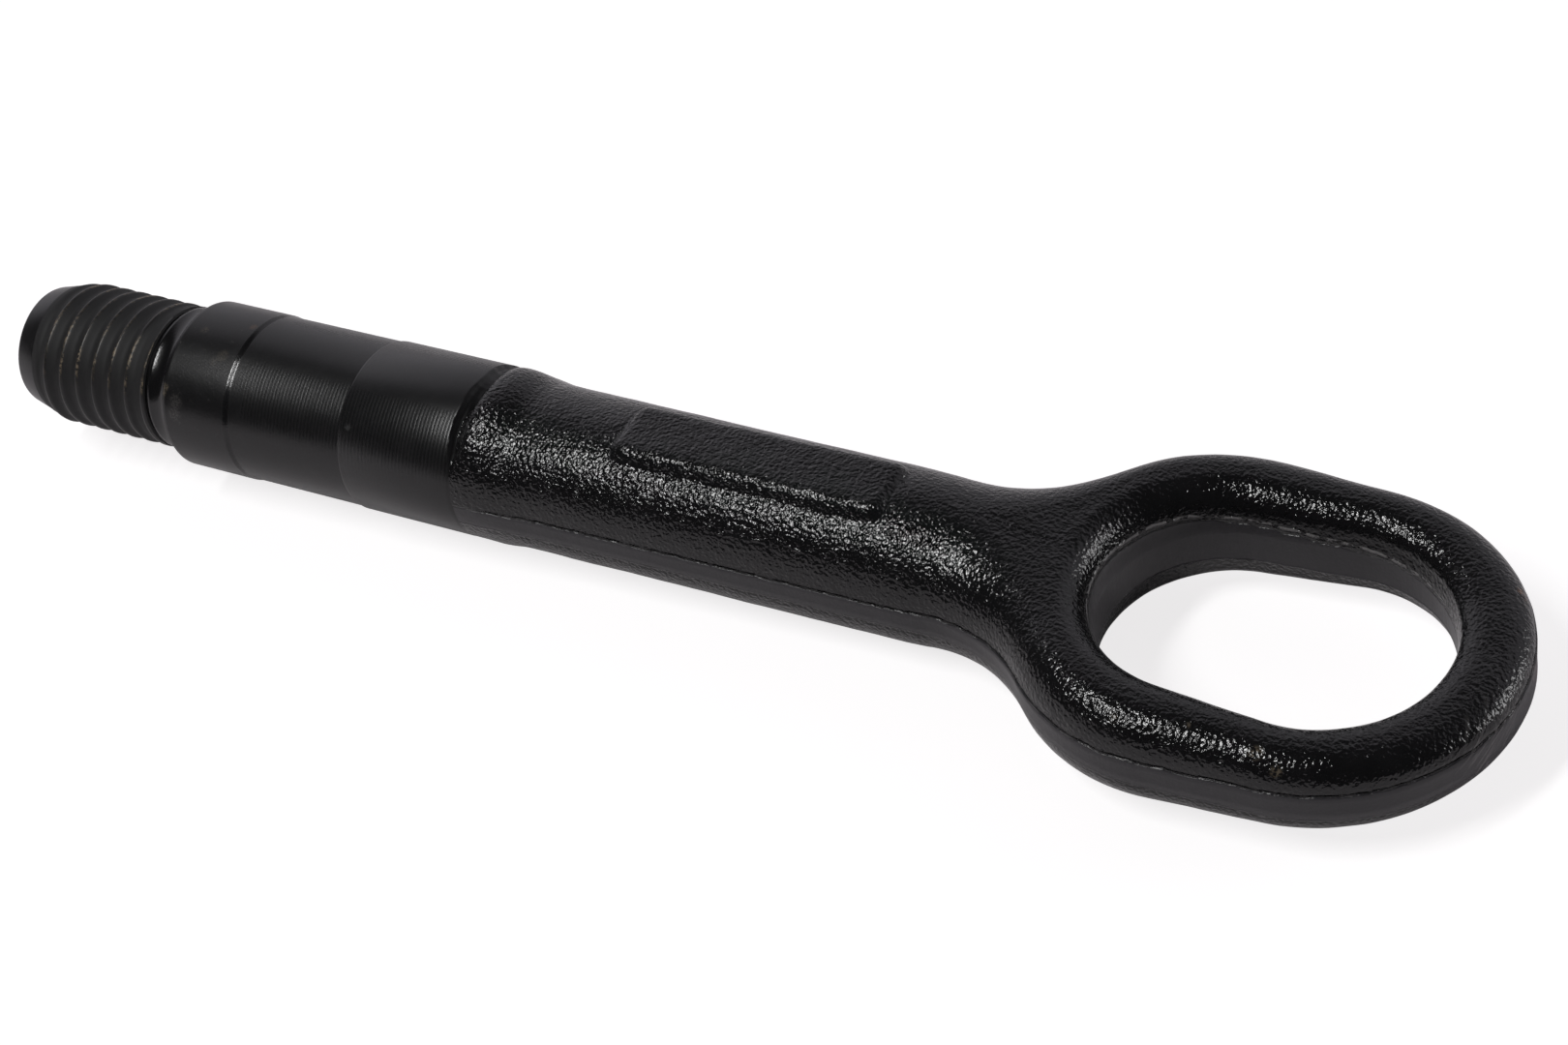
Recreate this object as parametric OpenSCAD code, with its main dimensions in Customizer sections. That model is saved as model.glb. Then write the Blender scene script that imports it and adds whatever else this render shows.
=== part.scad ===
// Screw-in towing eye, drop forged in one piece and then part turned.
// The axis of the screw is X, the eye lies flat in the XY plane and Z is up.
// The origin is on the axis, at the front edge of the guide collar.
// The thread points to -X and the eye to +X. All sizes are in millimetres.

/* [Thread] */
// Diameter over the crests
thread_d = 17.4; // [16.8:0.1:18]
// Distance from one crest to the next
thread_pitch = 2.5; // [2:0.25:3]
// Depth of the thread, measured on the radius
thread_depth = 1.5; // [1:0.05:1.7]
// Width of the flat on each crest
thread_crest_w = 0.35; // [0.2:0.05:0.5]
// Which way the thread turns
thread_hand = "left"; // [left, right]
// Angle round the axis at which the thread starts, from +Y
thread_start_angle = 343; // [0:1:360]
// Length from the ring at the lead end to the run-out
thread_len = 17.8; // [12:0.2:26]
// Length over which the first crests rise to full height
thread_start_len = 2.2; // [1:0.1:4]
// Length over which the groove runs out at the collar end
thread_runout_len = 2.6; // [1.5:0.1:4]

/* [Lead cone] */
// Length of the smooth cone at the end
lead_len = 3.0; // [1:0.1:5]
// Diameter of its small end
lead_tip_d = 14.5; // [12:0.1:15.4]
// Diameter of the ring where the thread starts
lead_ring_d = 16.0; // [15.6:0.1:16.6]
// Radius on the outer edge of the end face
lead_edge_r = 0.5; // [0.2:0.1:1]

/* [Neck] */
// Diameter of the plain end of the thread
neck_d = 17.3; // [16.8:0.1:17.8]
// Width of the small groove behind the thread
neck_groove_w = 0.7; // [0.4:0.1:1.2]
// Depth of that groove
neck_groove_depth = 0.35; // [0.2:0.05:0.6]
// Length of the hollow fillet that rises to the collar
neck_fillet_len = 3.4; // [2:0.1:5]

/* [Guide collar] */
// Diameter of the two guide lands
land_d = 20; // [19.6:0.1:21]
// Length of the front land
front_land_len = 8.9; // [5:0.1:14]
// Diameter of the relief between the lands
relief_d = 19.7; // [19.2:0.1:19.9]
// Length of the relief
relief_len = 16.4; // [8:0.1:24]
// Length of the slope from the front land down to the relief
front_slope_len = 0.6; // [0.2:0.1:1.5]
// Length of the slope from the relief up to the rear land
rear_slope_len = 0.3; // [0.1:0.1:1]
// Length of the rear land, with its chamfer
rear_land_len = 16.1; // [8:0.1:24]
// Length of the chamfer behind the rear land
rear_chamfer_len = 1.4; // [0.8:0.1:2]
// Depth of that chamfer
rear_chamfer_depth = 0.6; // [0.3:0.1:0.8]

/* [Shank] */
// Length from the rear land to the start of the fork
shank_len = 57.4; // [50:0.5:90]
// Width of the shank at the collar
shank_w = 18.9; // [17.8:0.1:19.3]
// Width of the shank at the fork
shank_fork_w = 17.9; // [16:0.1:18.6]
// Height of the shank
shank_h = 18.0; // [17.4:0.1:18.6]
// How much the shank stands higher at the collar, on the radius
shank_rise = 0.5; // [0:0.02:0.6]
// Length over which that rise dies out
shank_rise_len = 6.5; // [3:0.5:12]
// Squareness of the round section at the collar, which fades to a true ellipse
shank_square = 2.25; // [2:0.05:2.3]
// Top edge of the trimmed band on the sides, above the axis
shank_band_top = 0.65; // [0:0.05:2]
// Bottom edge of the trimmed band, below the axis
shank_band_low = 2.25; // [0.5:0.05:3]

/* [Pad] */
// Length of the raised flat pad, on its top
pad_len = 33.0; // [20:0.2:36]
// Width of the pad, on its top
pad_w = 7.5; // [5:0.1:9]
// Height of the pad's top above the axis
pad_top = 9.2; // [9.05:0.05:9.8]
// Distance from the rear land to the pad
pad_start = 18.3; // [12:0.2:20]
// How far the pad's sides lean from upright, in degrees
pad_side_angle = 26; // [5:1:40]
// Radius of the pad's corners
pad_corner_r = 1.4; // [0.6:0.1:2.4]

/* [Fork] */
// Radius of the hollow where the shank widens into the eye
fork_r = 19.2; // [10:0.5:24]
// Length over which the height changes from the shank to the eye
fork_drop_len = 24; // [20:1:32]
// How far ahead of the fork that change starts
fork_drop_lead = 6.5; // [2:0.5:12]

/* [Eye] */
// Radius of the outer outline at the fork end
eye_outer_fork_r = 21.3; // [18:0.1:24]
// Radius of the outer outline at the far end
eye_outer_end_r = 20.8; // [18:0.1:24]
// Distance between the centres of those two arcs
eye_outer_span = 12.0; // [6:0.1:20]
// Radius of the opening at the fork end
eye_inner_fork_r = 12.6; // [9:0.1:14]
// Radius of the opening at the far end
eye_inner_end_r = 13.4; // [9:0.1:14.4]
// Distance between the centres of those two arcs
eye_inner_span = 11.0; // [6:0.1:14]
// How far the opening sits from the outer outline, towards the far end
eye_inner_shift = 0.7; // [0:0.1:3]
// Height of the bar at the fork
eye_h = 13.6; // [11:0.1:15]
// Height of the bar at the far end
eye_end_h = 8.0; // [7.6:0.1:13]
// Width of the flat crest of the bar
eye_crest_w = 0.8; // [0.6:0.1:2]
// Top edge of the trimmed band outside, above the axis
outer_band_top = 1.8; // [0.5:0.1:3]
// Bottom edge of that band, below the axis
outer_band_low = 1.85; // [0.5:0.1:3]
// Top edge of the trimmed band in the opening, above the axis
inner_band_top = 1.05; // [0.3:0.05:2]
// Bottom edge of that band, below the axis
inner_band_low = 2.8; // [1:0.1:3.2]
// Height of the drafted strip above and below the band in the opening
inner_draft_h = 1.6; // [0.5:0.1:2]
// How far that strip leans back
inner_draft = 0.3; // [0.1:0.05:0.6]

/* [Smoothness] */
// Stations per turn of the thread
thread_steps = 36; // [24:2:48]
// Steps on each round shoulder of the forging
shoulder_steps = 8; // [5:1:10]
// Angle between stations round the eye
eye_step = 7.5; // [5:0.5:12]
// Facets round the turned faces
turned_steps = 96; // [48:12:120]

/* [Hidden] */
steel = "#161719";

// Places along the axis, counted from the front edge of the collar
relief_x = front_land_len;
rear_land_x = relief_x + relief_len + rear_slope_len;
collar_end_x = rear_land_x + rear_land_len;
fork_x = collar_end_x + shank_len;
pad_x = collar_end_x + pad_start;
neck_x = -neck_fillet_len;
thread_end_x = neck_x - neck_groove_w;
ring_x = thread_end_x - thread_len;
tip_x = ring_x - lead_len;

// The outer outline is two arcs joined by straight sides, with a hollow fillet to the shank
fork_half_w = shank_fork_w / 2;
fork_centre_drop = fork_half_w + fork_r;
fork_reach = sqrt(pow(eye_outer_fork_r + fork_r, 2) - pow(fork_centre_drop, 2));
eye_x = fork_x + fork_reach;
eye_end_x = eye_x + eye_outer_span;
hole_x = eye_x + eye_inner_shift;
hole_end_x = hole_x + eye_inner_span;
tip_of_eye_x = eye_end_x + eye_outer_end_r;
drop_start_x = fork_x - fork_drop_lead;
drop_end_x = drop_start_x + fork_drop_len;
outer_side_angle = acos((eye_outer_fork_r - eye_outer_end_r) / eye_outer_span);
inner_side_angle = acos((eye_inner_fork_r - eye_inner_end_r) / eye_inner_span);
fork_angle = 180 - asin(fork_centre_drop / (eye_outer_fork_r + fork_r));
// Where the lines across the fork meet the opening
fork_inner_lean = 8;
fork_inner_angle = (fork_angle + 180) / 2 - fork_inner_lean;
bar_w = eye_outer_fork_r - eye_inner_fork_r;

// Stations on the web, on the straight sides and along the shank
web_steps = 4;
side_steps = 3;
drop_steps = 3;
shank_steps = 4;
rise_steps = 4;
pad_corner_steps = 24;
// How deep the shank is rooted in the collar, and the pad in the shank
root_cover = 0.6;
pad_root_depth = 2.6;
// Angle that the hollow fillet of the neck turns through
neck_sweep = 70;

function mix(a, b, t) = a + (b - a) * t;
function clamp01(t) = min(1, max(0, t));
function smooth(t) = let(u = clamp01(t)) u * u * (3 - 2 * u);
function polar(r, a) = [r * cos(a), r * sin(a)];
function steps_for(angle) = ceil(abs(angle) / eye_step);

// 0 on the shank and 1 on the eye
function drop_at(x) = smooth((x - drop_start_x) / fork_drop_len);
function rise_at(x) = shank_rise * (1 - smooth((x - collar_end_x) / shank_rise_len));
function bar_half_h(x) = mix(eye_h, eye_end_h, clamp01((x - drop_end_x) / (tip_of_eye_x - drop_end_x))) / 2;
function crest_at(x) = mix(shank_h / 2 + rise_at(x), bar_half_h(x), drop_at(x));
function square_at(x) = mix(shank_square, 2, smooth((x - collar_end_x) / shank_rise_len));
function shank_half_w(x) = mix(shank_w / 2, fork_half_w, (x - collar_end_x) / shank_len);

// A round shoulder: share of its width and of its height at an angle from the wall
function shoulder_in(angle, square) = 1 - pow(cos(angle), 2 / square);
function shoulder_up(angle, square) = pow(sin(angle), 2 / square);

// The outer shoulder of one station: from the wall at point p to the crest
function outer_shoulder(p, inward, width, band, crest, square) = [
    for (k = [0:shoulder_steps])
        let(a = 90 * k / shoulder_steps)
        let(q = p + inward * width * shoulder_in(a, square))
        [q.x, q.y, band + (crest - band) * shoulder_up(a, square)]
];

// The level web between the two crests of one station
function web(from, to) = [
    for (k = [1:web_steps])
        let(q = mix(from, to, k / web_steps))
        [q.x, q.y, crest_at(q.x)]
];

// The inner shoulder: from the crest down to the drafted strip and the band in the opening
function inner_shoulder(p, outward, width, band, crest) = [
    for (k = [shoulder_steps - 1:-1:0])
        let(a = 90 * k / shoulder_steps)
        let(q = p + outward * (inner_draft + (width - inner_draft) * shoulder_in(a, 2)))
        let(edge = band + min(inner_draft_h, (crest - band) / 2))
        [q.x, q.y, edge + (crest - edge) * shoulder_up(a, 2)],
    [p.x, p.y, band]
];

// A station round the eye: outer point and direction, inner point and direction, width of the bar
function end_stations() = [
    let(n = steps_for(outer_side_angle))
    for (i = [0:n])
        let(a = outer_side_angle * i / n, b = inner_side_angle * i / n)
        [[eye_end_x, 0] + polar(eye_outer_end_r, a), -polar(1, a),
         [hole_end_x, 0] + polar(eye_inner_end_r, b), polar(1, b), 1]
];

function side_stations() = [
    let(d_out = polar(1, outer_side_angle), d_in = polar(1, inner_side_angle))
    for (i = [1:side_steps])
        let(t = i / side_steps)
        let(r_out = mix(eye_outer_end_r, eye_outer_fork_r, t))
        let(r_in = mix(eye_inner_end_r, eye_inner_fork_r, t))
        [[mix(eye_end_x, eye_x, t), 0] + d_out * r_out, -d_out,
         [mix(hole_end_x, hole_x, t), 0] + d_in * r_in, d_in, 1]
];

function back_stations() = [
    let(n = steps_for(fork_angle - outer_side_angle))
    for (i = [1:n])
        let(a = mix(outer_side_angle, fork_angle, i / n))
        let(b = mix(inner_side_angle, fork_inner_angle, i / n))
        [[eye_x, 0] + polar(eye_outer_fork_r, a), -polar(1, a),
         [hole_x, 0] + polar(eye_inner_fork_r, b), polar(1, b), 1]
];

function fork_stations() = [
    let(n = steps_for(180 - fork_angle) + 2)
    for (i = [1:n])
        let(a = mix(fork_angle + 180, 270, i / n))
        let(b = mix(fork_inner_angle, 180, i / n))
        [[fork_x, fork_centre_drop] + polar(fork_r, a), i == n ? [0, -1] : polar(1, a),
         [hole_x, 0] + (i == n ? [-eye_inner_fork_r, 0] : polar(eye_inner_fork_r, b)),
         i == n ? [-1, 0] : polar(1, b), 1 - i / n]
];

eye_plan = concat(end_stations(), side_stations(), back_stations(), fork_stations());
eye_last = len(eye_plan) - 1;

// The top or the bottom of one station, from the outer wall to the wall of the opening
function eye_line(s, outer_band, shank_band, inner_band) =
    let(bar = min(bar_w, norm(s[0] - s[2])))
    let(round_w = (bar - eye_crest_w) / 2)
    let(outer_w = mix(fork_half_w, round_w, smooth(s[4])))
    let(from = s[0] + s[1] * outer_w)
    let(to = s[2] + s[3] * round_w)
    let(band = mix(shank_band, outer_band, drop_at(s[0].x)))
    concat(
        outer_shoulder(s[0], s[1], outer_w, band, crest_at(from.x), square_at(s[0].x)),
        web(from, to),
        inner_shoulder(s[2], s[3], round_w, inner_band, crest_at(to.x))
    );

// Stations along the shank, from the fork to a root inside the collar
shank_plan = [
    for (i = [1:drop_steps]) fork_x - fork_drop_lead * i / drop_steps,
    for (i = [shank_steps - 1:-1:1]) mix(collar_end_x + shank_rise_len, drop_start_x, i / shank_steps),
    for (i = [rise_steps:-1:0]) collar_end_x + shank_rise_len * i / rise_steps,
    collar_end_x - root_cover
];
shank_last = len(shank_plan) - 1;

function shank_line(x, band) =
    outer_shoulder([x, shank_half_w(x)], [0, -1], shank_half_w(x), band, crest_at(x), square_at(x));

function flip_y(p) = [p.x, -p.y, p.z];
function flip_z(p) = [p.x, p.y, -p.z];

eye_top = [for (s = eye_plan) eye_line(s, outer_band_top, shank_band_top, inner_band_top)];
eye_low = [for (s = eye_plan)
    [for (p = eye_line(s, outer_band_low, shank_band_low, inner_band_low)) flip_z(p)]];
shank_top = [for (x = shank_plan) shank_line(x, shank_band_top)];
shank_low = [for (x = shank_plan) [for (p = shank_line(x, shank_band_low)) flip_z(p)]];

line_n = len(eye_top[0]);
half_n = shoulder_steps + 1;
eye_n = len(eye_plan) * line_n;
shank_n = len(shank_plan) * half_n;
side_n = 2 * (eye_n + shank_n);

// One side of the forging, as a flat list of points
function flat(rows) = [for (row = rows) each row];
side_points = concat(flat(eye_top), flat(eye_low), flat(shank_top), flat(shank_low));

// Point numbers. Side 0 is +Y and side 1 is -Y, and both share the points on the centre line.
function eye_id(side, low, j, k) =
    let(shared = j == 0 || (j == eye_last && k >= shoulder_steps))
    (shared ? 0 : side) * side_n + low * eye_n + j * line_n + k;
function shank_id(side, low, i, k) =
    i < 0 ? eye_id(side, low, eye_last, k)
    : (k == shoulder_steps ? 0 : side) * side_n + 2 * eye_n + low * shank_n + i * half_n + k;

function quad(flip, a, b, c, d) = flip ? [[a, c, b], [a, d, c]] : [[a, b, c], [a, c, d]];

function eye_faces(side) = [
    for (j = [0:eye_last - 1]) each concat(
        [for (low = [0, 1], k = [0:line_n - 2])
            each quad((side + low) % 2 == 0,
                eye_id(side, low, j, k), eye_id(side, low, j + 1, k),
                eye_id(side, low, j + 1, k + 1), eye_id(side, low, j, k + 1))],
        quad(side == 1, eye_id(side, 0, j, 0), eye_id(side, 0, j + 1, 0),
            eye_id(side, 1, j + 1, 0), eye_id(side, 1, j, 0)),
        quad(side == 0, eye_id(side, 0, j, line_n - 1), eye_id(side, 0, j + 1, line_n - 1),
            eye_id(side, 1, j + 1, line_n - 1), eye_id(side, 1, j, line_n - 1))
    )
];

function shank_faces(side) = [
    for (i = [-1:shank_last - 1]) each concat(
        [for (low = [0, 1], k = [0:shoulder_steps - 1])
            each quad((side + low) % 2 == 0,
                shank_id(side, low, i, k), shank_id(side, low, i + 1, k),
                shank_id(side, low, i + 1, k + 1), shank_id(side, low, i, k + 1))],
        quad(side == 1, shank_id(side, 0, i, 0), shank_id(side, 0, i + 1, 0),
            shank_id(side, 1, i + 1, 0), shank_id(side, 1, i, 0))
    )
];

root_face = concat(
    [for (k = [0:shoulder_steps]) shank_id(0, 0, shank_last, k)],
    [for (k = [shoulder_steps - 1:-1:0]) shank_id(1, 0, shank_last, k)],
    [for (k = [0:shoulder_steps]) shank_id(1, 1, shank_last, k)],
    [for (k = [shoulder_steps - 1:-1:0]) shank_id(0, 1, shank_last, k)]
);

module along_x() {
    rotate([0, 90, 0]) children();
}

// Shank, fork and eye as one skin laid over the stations
module forging() {
    polyhedron(
        points = concat(side_points, [for (p = side_points) flip_y(p)]),
        faces = concat(eye_faces(0), eye_faces(1), shank_faces(0), shank_faces(1), [root_face]),
        convexity = 6
    );
}

// The raised flat pad on top of the shank
module pad() {
    translate([pad_x + pad_len / 2, 0, 0])
        hull() {
            pad_slab(0, pad_top);
            pad_slab(pad_root_depth * tan(pad_side_angle), pad_top - pad_root_depth);
        }
}

module pad_slab(grow, top) {
    skin = 0.1;
    translate([0, 0, top - skin])
        linear_extrude(skin)
            offset(r = pad_corner_r + grow, $fn = pad_corner_steps)
                square([pad_len - 2 * pad_corner_r, pad_w - 2 * pad_corner_r], center = true);
}

// Collar, neck and run-out: everything that is turned behind the thread
module turned_body() {
    groove_r = neck_d / 2 - neck_groove_depth;
    land_r = land_d / 2;
    relief_r = relief_d / 2;
    along_x() rotate_extrude($fn = turned_steps)
        polygon(concat(
            [[0, thread_end_x], [groove_r, thread_end_x], [groove_r, neck_x - neck_groove_w / 3]],
            neck_curve(),
            [[land_r, front_land_len],
             [relief_r, relief_x + front_slope_len],
             [relief_r, rear_land_x - rear_slope_len],
             [land_r, rear_land_x],
             [land_r, collar_end_x - rear_chamfer_len],
             [land_r - rear_chamfer_depth, collar_end_x],
             [0, collar_end_x]]
        ));
}

// The hollow fillet from the groove up to the collar
function neck_curve() = [
    let(n = 6, foot = neck_d / 2, rise = land_d / 2 - foot)
    for (i = [0:n])
        let(a = neck_sweep * i / n)
        [foot + rise * (1 - cos(a)) / (1 - cos(neck_sweep)), mix(neck_x, 0, sin(a) / sin(neck_sweep))]
];

// The smooth cone at the end
module lead_cone() {
    tip_r = lead_tip_d / 2;
    along_x() rotate_extrude($fn = turned_steps)
        polygon(concat(
            [[0, tip_x]],
            [for (a = [0:30:90]) [tip_r - lead_edge_r * (1 - sin(a)), tip_x + lead_edge_r * (1 - cos(a))]],
            [[lead_ring_d / 2, ring_x], [0, ring_x]]
        ));
}

// What the thread may fill: a rising start and a plain end
module thread_limit() {
    start_r = lead_ring_d / 2;
    full_r = thread_d / 2;
    slope = (full_r - start_r) / thread_start_len;
    spare = 0.6;
    along_x() rotate_extrude($fn = turned_steps)
        polygon([
            [0, ring_x - spare],
            [start_r - 2 * spare * slope, ring_x - spare],
            [full_r + spare * slope, ring_x + thread_start_len + spare],
            [full_r + spare, thread_end_x - spare],
            [full_r + spare, thread_end_x],
            [0, thread_end_x]
        ]);
}

// Radius of the thread form at a place across one pitch, from crest centre to crest centre
thread_root_r = thread_d / 2 - thread_depth;
thread_flank_w = thread_depth * tan(30);
thread_form = [
    [-thread_crest_w / 2, thread_d / 2],
    [thread_crest_w / 2, thread_d / 2],
    [thread_crest_w / 2 + thread_flank_w, thread_root_r],
    [thread_pitch - thread_crest_w / 2 - thread_flank_w, thread_root_r]
];
form_n = len(thread_form);

// The groove gets shallow towards the collar
function runout_r(x) =
    mix(thread_root_r, neck_d / 2, clamp01((x - thread_end_x) / thread_runout_len + 1));

// A rod with the thread on it, one pitch longer at each end than what is kept
module thread_rod() {
    turns = ceil(thread_len / thread_pitch) + 3;
    start_x = ring_x - 1.5 * thread_pitch;
    turn_way = thread_hand == "left" ? -1 : 1;
    rows = turns * thread_steps + 1;
    points = [
        for (i = [0:rows - 1], f = thread_form)
            let(a = thread_start_angle + turn_way * 360 * i / thread_steps)
            let(x = start_x + f[0] + thread_pitch * i / thread_steps)
            let(r = max(f[1], runout_r(x)))
            [x, r * cos(a), r * sin(a)]
    ];
    last = rows - 1;
    caps = [[start_x, 0, 0], [start_x + thread_pitch * turns, 0, 0]];
    cap_a = len(points);
    cap_b = cap_a + 1;
    flip = turn_way > 0;
    // One step along the form, onto the next turn after the last point of it
    function id(i, k) = k < form_n ? i * form_n + k : (i + thread_steps) * form_n;
    skin = [
        for (i = [0:last - thread_steps - 1], k = [0:form_n - 1])
            each quad(flip, id(i, k), id(i + 1, k), id(i + 1, k + 1), id(i, k + 1))
    ];
    front = concat(
        [for (i = [0:thread_steps - 1]) flip ? [cap_a, id(i, 0), id(i + 1, 0)] : [cap_a, id(i + 1, 0), id(i, 0)]],
        [for (k = [0:form_n - 1]) flip ? [cap_a, id(0, k + 1), id(0, k)] : [cap_a, id(0, k), id(0, k + 1)]]
    );
    b0 = last - thread_steps;
    back = concat(
        [for (i = [b0:last - 1]) flip ? [cap_b, id(i + 1, 0), id(i, 0)] : [cap_b, id(i, 0), id(i + 1, 0)]],
        [for (k = [0:form_n - 1]) flip ? [cap_b, id(b0, k), id(b0, k + 1)] : [cap_b, id(b0, k + 1), id(b0, k)]]
    );
    polyhedron(points = concat(points, caps), faces = concat(skin, front, back), convexity = 10);
}

module thread() {
    intersection() {
        thread_rod();
        thread_limit();
    }
}

module tow_eye() {
    color(steel) {
        lead_cone();
        thread();
        turned_body();
        forging();
        pad();
    }
}

tow_eye();
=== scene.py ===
from math import acos, asin, atan2, cos, degrees, exp, hypot, log, pi, radians, sin, sqrt, tan

import bmesh
import bpy
from mathutils import Matrix, Vector, noise


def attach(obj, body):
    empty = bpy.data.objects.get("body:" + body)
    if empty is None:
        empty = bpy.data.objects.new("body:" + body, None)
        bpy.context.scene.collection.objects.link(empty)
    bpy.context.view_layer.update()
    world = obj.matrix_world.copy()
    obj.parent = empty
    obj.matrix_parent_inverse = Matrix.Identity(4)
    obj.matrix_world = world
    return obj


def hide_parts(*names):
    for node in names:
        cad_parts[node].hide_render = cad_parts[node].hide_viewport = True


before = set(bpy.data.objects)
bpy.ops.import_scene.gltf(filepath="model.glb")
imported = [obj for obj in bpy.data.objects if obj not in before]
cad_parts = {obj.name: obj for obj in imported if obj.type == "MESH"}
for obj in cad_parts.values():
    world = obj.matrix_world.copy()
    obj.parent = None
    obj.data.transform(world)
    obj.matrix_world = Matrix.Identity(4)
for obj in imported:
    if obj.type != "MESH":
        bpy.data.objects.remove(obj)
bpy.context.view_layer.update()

# Sizes in millimetres and angles in degrees. x = 0 is the front edge of the guide collar.

MM = 0.001

# lead cone and thread
TIP_X = -24.9
TIP_R = 7.25
TIP_ROUNDING = 0.45
RING_X = -21.9
RING_R = 8.0
RING_ROUNDING = 0.12
THREAD_D = 17.4
THREAD_PITCH = 2.5
THREAD_DEPTH = 1.5
# the grooves look nearly filled, so they are drawn this much shallower than they are cut
THREAD_FILL = 1.10
FLANK_ANGLE = 30.0
CREST_W = 0.35
CREST_ROUNDING = 0.04
ROOT_HOLLOW = 0.03
CORE_GAP = 0.3
THREAD_START_ANGLE = 343.0
THREAD_START_LEN = 2.2
THREAD_RUNOUT_LEN = 2.6
THREAD_END_X = -4.1

# neck
NECK_X = -3.4
NECK_D = 17.3
NECK_GROOVE = 0.35
NECK_LOW_X = -2.1
NECK_HOLLOW = 0.15
NECK_FRONT_RISE = 0.16
NECK_WALL_ANGLE = 70.0

# guide collar
LAND_R = 10.0
RELIEF_R = 9.85
FRONT_LAND_END = 8.9
FRONT_STEP_LEN = 0.55
REAR_LAND_X = 25.6
REAR_STEP_LEN = 0.30
COLLAR_END_X = 41.7
CHAMFER_LEN = 1.4
CHAMFER_DEPTH = 0.75
# the chamfer's profile: distance past the end of the rear land, and depth
CHAMFER_STEPS = ((-0.9, 0.0), (-0.32, 0.0), (-0.12, 0.0), (0.0, 0.05), (0.25, 0.32), (0.6, 0.52))
# the land ends in an uneven edge: height of its waves, how fine they are, and seed
LAND_END_WAVES = ((0.28, 3.0, 5.0), (0.10, 14.0, 1.0))
LAND_END_REACH = 0.5
LAND_END_MARGIN = 0.05
LAND_END_TAPER = 0.12
# the tool cut into the forged skin above this angle from the sides
CUT_ANGLE = 26.0
CUT_FADE_ANGLE = 16.0

# shank
SHANK_W = 18.9
SHANK_FORK_W = 17.9
SHANK_H = 18.0
SHANK_RISE = 0.92
SHANK_RISE_START = 1.6
SHANK_RISE_LEN = 4.5
SHANK_SQUARE = 2.25
SHANK_SQUARE_LEN = 6.5
SHANK_OVERLAP = 0.9
FLUSH_LEN = 9.0
FLUSH_GAP = 0.06
CUT_DIP = 0.7
CUT_DIP_START = -0.4
CUT_DIP_LEN = 0.9
# the skin is never quite even: width, height and seed of its waves
SKIN_WAVES = ((5.5, 0.055, 2.0), (1.9, 0.022, 5.0))

# pad on the shank
PAD_X0 = 60.0
PAD_X1 = 93.0
PAD_HALF_W = 3.75
PAD_TOP = 9.2
PAD_EXTRA = 0.2
PAD_CORNER_R = 1.4
PAD_DRAFT_ANGLE = 26.0
PAD_EDGE_SOFT = 0.32
# the wave along its edge: width, height and seed
PAD_EDGE_WAVE = (3.0, 0.077, 7.0)
PAD_VALLEY = 0.12
PAD_FOOT_DIP = 0.07
# heights from the shank's skin up to the pad's form, as multiples of PAD_VALLEY: where the foot is
# deepest, how wide it is, and where the skin starts to follow the pad and follows it fully
PAD_FOOT_AT = -2.0
PAD_FOOT_W = 2.2
PAD_LIFT_START = -6.0
PAD_LIFT_FULL = -2.0
PAD_REACH_X = 3.0
PAD_REACH_Y = 2.5

# fork and eye
FORK_X = 99.1
FORK_R = 19.2
DROP_LEAD = 6.5
DROP_LEN = 24.0
EYE_FORK_R = 21.3
EYE_END_R = 20.8
EYE_SPAN = 12.0
EYE_H = 13.6
EYE_END_H = 8.0
HOLE_FORK_R = 12.6
HOLE_END_R = 13.4
HOLE_SPAN = 11.0
HOLE_SHIFT = 0.7
HOLE_DRAFT_H = 1.6
HOLE_DRAFT = 0.3
HOLE_FORK_TURN = 8.0
CREST_FLAT = 0.8

# trimmed bands: their upper and lower edges, as distances from the parting plane
BAND_TOP = 0.65
BAND_LOW = 2.25
EYE_BAND_TOP = 1.8
EYE_BAND_LOW = 1.85
HOLE_BAND_TOP = 1.05
HOLE_BAND_LOW = 2.8
BAND_STEP = 0.14
BAND_EDGE_W = 0.12
BAND_INSET = 0.03
# a band's edge wanders a little: width, height and change of seed of its waves
BAND_WAVES = ((4.5, 0.30, 0.0), (1.3, 0.12, 4.0))
BAND_LOW_WAVE_SHARE = 0.35
OUTER_BAND_SEED = 1.0
HOLE_BAND_SEED = 2.0
BAND_LOW_SEED_CHANGE = 11

thread_crest_r = THREAD_D / 2
thread_root_r = thread_crest_r - THREAD_DEPTH + THREAD_FILL
neck_r = NECK_D / 2
land_end_x = COLLAR_END_X - CHAMFER_LEN
fork_half_w = SHANK_FORK_W / 2
fork_centre_y = fork_half_w + FORK_R
eye_x = FORK_X + sqrt((EYE_FORK_R + FORK_R) ** 2 - fork_centre_y ** 2)
eye_end_x = eye_x + EYE_SPAN
hole_x = eye_x + HOLE_SHIFT
hole_end_x = hole_x + HOLE_SPAN
tip_of_eye_x = eye_end_x + EYE_END_R
drop_start_x = FORK_X - DROP_LEAD
drop_end_x = drop_start_x + DROP_LEN
outer_side_angle = acos((EYE_FORK_R - EYE_END_R) / EYE_SPAN)
hole_side_angle = acos((HOLE_FORK_R - HOLE_END_R) / HOLE_SPAN)
fork_angle = pi - asin(fork_centre_y / (EYE_FORK_R + FORK_R))
fork_hole_angle = (fork_angle + pi) / 2 - radians(HOLE_FORK_TURN)
bar_w = EYE_FORK_R - HOLE_FORK_R


def mix(a, b, t):
    return a + (b - a) * t


def clamp01(t):
    return min(1.0, max(0.0, t))


def smooth(t):
    t = clamp01(t)
    return t * t * (3 - 2 * t)


def steps(start, end, count):
    return [mix(start, end, i / count) for i in range(count + 1)]


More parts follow.
